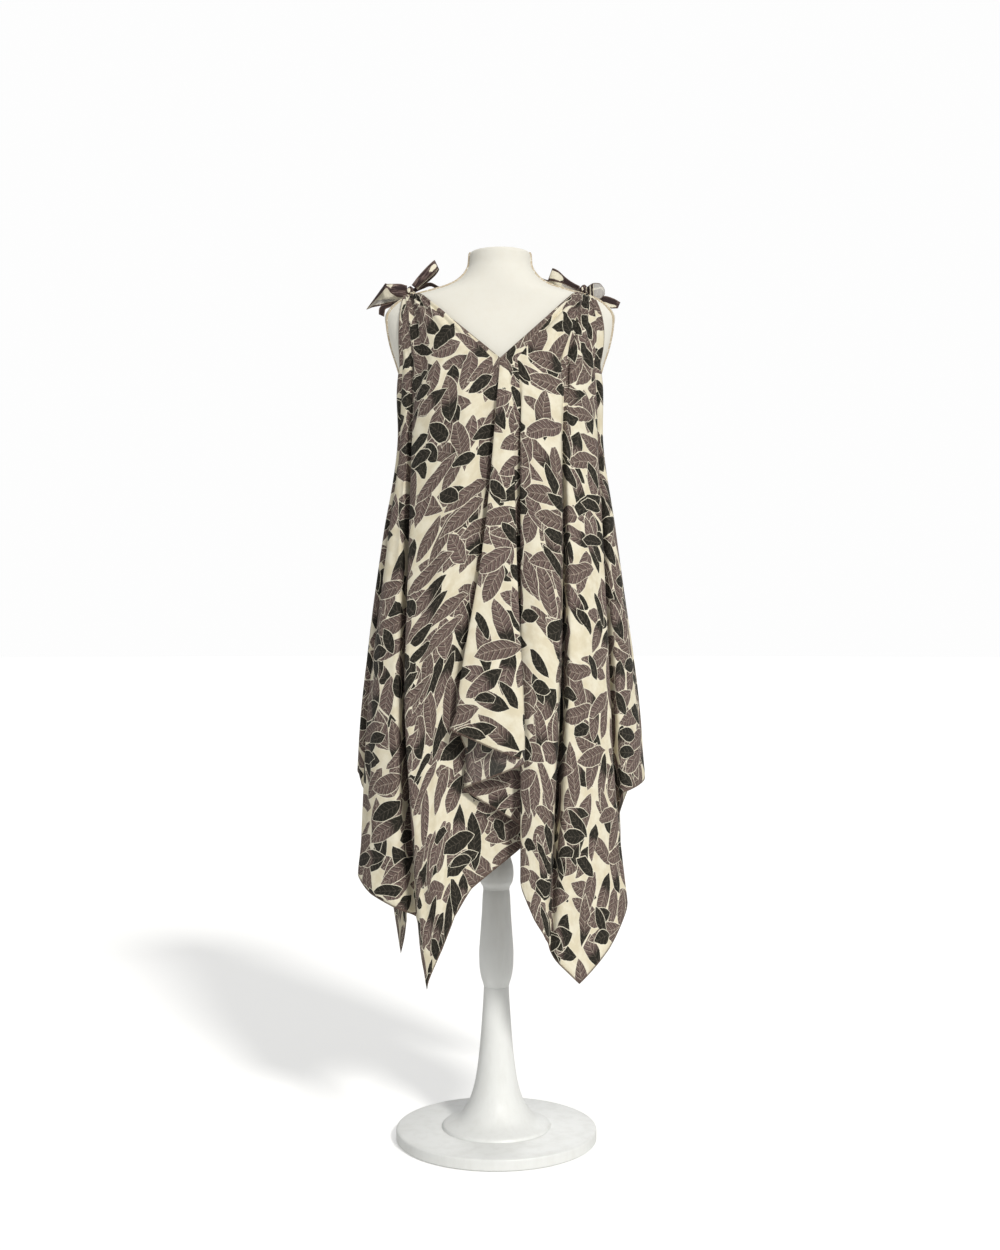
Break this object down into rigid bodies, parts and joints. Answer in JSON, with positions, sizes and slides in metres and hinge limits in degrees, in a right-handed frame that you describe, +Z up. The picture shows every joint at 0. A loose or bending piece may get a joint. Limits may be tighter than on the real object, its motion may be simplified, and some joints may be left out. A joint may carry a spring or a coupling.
{
  "type": "handkerchief dress on a dress form",
  "caption": "Sleeveless printed dress of square panels, tied in bows at the shoulders, with a pointed hem and a draped front, on a limbless dress form with a turned post and round base.",
  "frame": {"origin": "on the base's flat underside, below the middle of the form's neck and shoulders", "axes": "+Z up, the front of the dress faces -Y, +X is to the viewer's right when seen from the front"},
  "size_m": [0.4723, 0.3553, 1.47],
  "materials": {
    "printed_cloth": "plain-woven cotton with a printed design in taupe, near-black and cream; the wrong side is paler",
    "form_jersey": "smooth ivory jersey stretched over a hard form",
    "stand_paint": "turned wood, painted off-white, satin"
  },
  "bodies": {
    "root": {"front_left_panel": "printed_cloth", "front_right_panel": "printed_cloth", "back_left_panel": "printed_cloth", "back_right_panel": "printed_cloth", "left_knot": "printed_cloth", "left_loop_wide": "printed_cloth", "left_loop_up": "printed_cloth", "left_tail": "printed_cloth", "right_knot": "printed_cloth", "right_loop_inner": "printed_cloth", "right_loop_outer": "printed_cloth", "right_tail": "printed_cloth", "form_torso": "form_jersey", "form_knob": "stand_paint", "form_post": "stand_paint", "form_pedestal": "stand_paint", "form_base": "stand_paint"}
  },
  "joints": []
}
